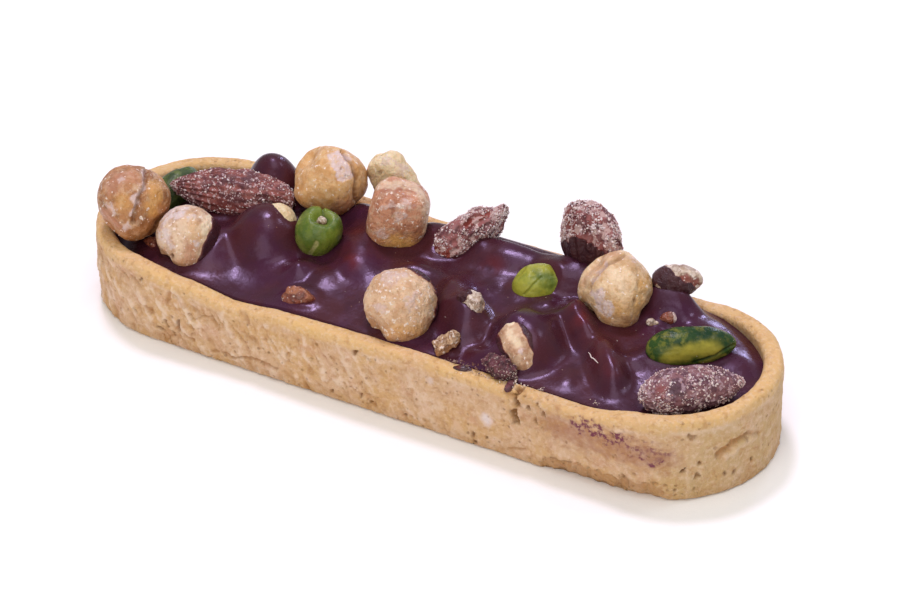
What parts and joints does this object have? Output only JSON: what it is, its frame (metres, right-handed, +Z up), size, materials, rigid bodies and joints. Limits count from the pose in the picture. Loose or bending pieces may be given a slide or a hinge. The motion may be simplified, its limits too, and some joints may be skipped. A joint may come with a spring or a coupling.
{
  "type": "nut tartlet",
  "caption": "Oblong shortcrust tartlet with round ends, filled with glossy chocolate over coated nuts and topped with hazelnuts, salted almonds and pistachios.",
  "frame": {"origin": "middle of the flat base, where the tartlet rests", "axes": "+X along the tartlet, towards the end with the two large kernels lying beside each other; -Y is the long side with the crack in its rim; +Z up"},
  "size_m": [0.1449, 0.0442, 0.0328],
  "materials": {
    "pastry": "baked shortcrust, matt and finely porous",
    "chocolate": "smooth poured chocolate, soft gloss",
    "hazelnut": "roasted and blanched, satin",
    "almond": "brown skin under salt grains",
    "pistachio": "peeled kernel, slightly waxy",
    "nut_chip": "broken nut, rough"
  },
  "bodies": {
    "root": {"pastry_case": "pastry", "chocolate_glaze": "chocolate", "hazelnut_1": "hazelnut", "hazelnut_2": "hazelnut", "hazelnut_3": "hazelnut", "hazelnut_4": "hazelnut", "hazelnut_5": "hazelnut", "hazelnut_6": "hazelnut", "hazelnut_7": "hazelnut", "hazelnut_8": "hazelnut", "almond_1": "almond", "almond_2": "almond", "almond_3": "almond", "almond_4": "almond", "pistachio_1": "pistachio", "pistachio_2": "pistachio", "pistachio_3": "pistachio", "pistachio_4": "pistachio", "chip_1": "nut_chip", "chip_2": "nut_chip", "chip_3": "nut_chip", "chip_4": "nut_chip", "chip_5": "nut_chip", "chip_6": "nut_chip"}
  },
  "joints": []
}
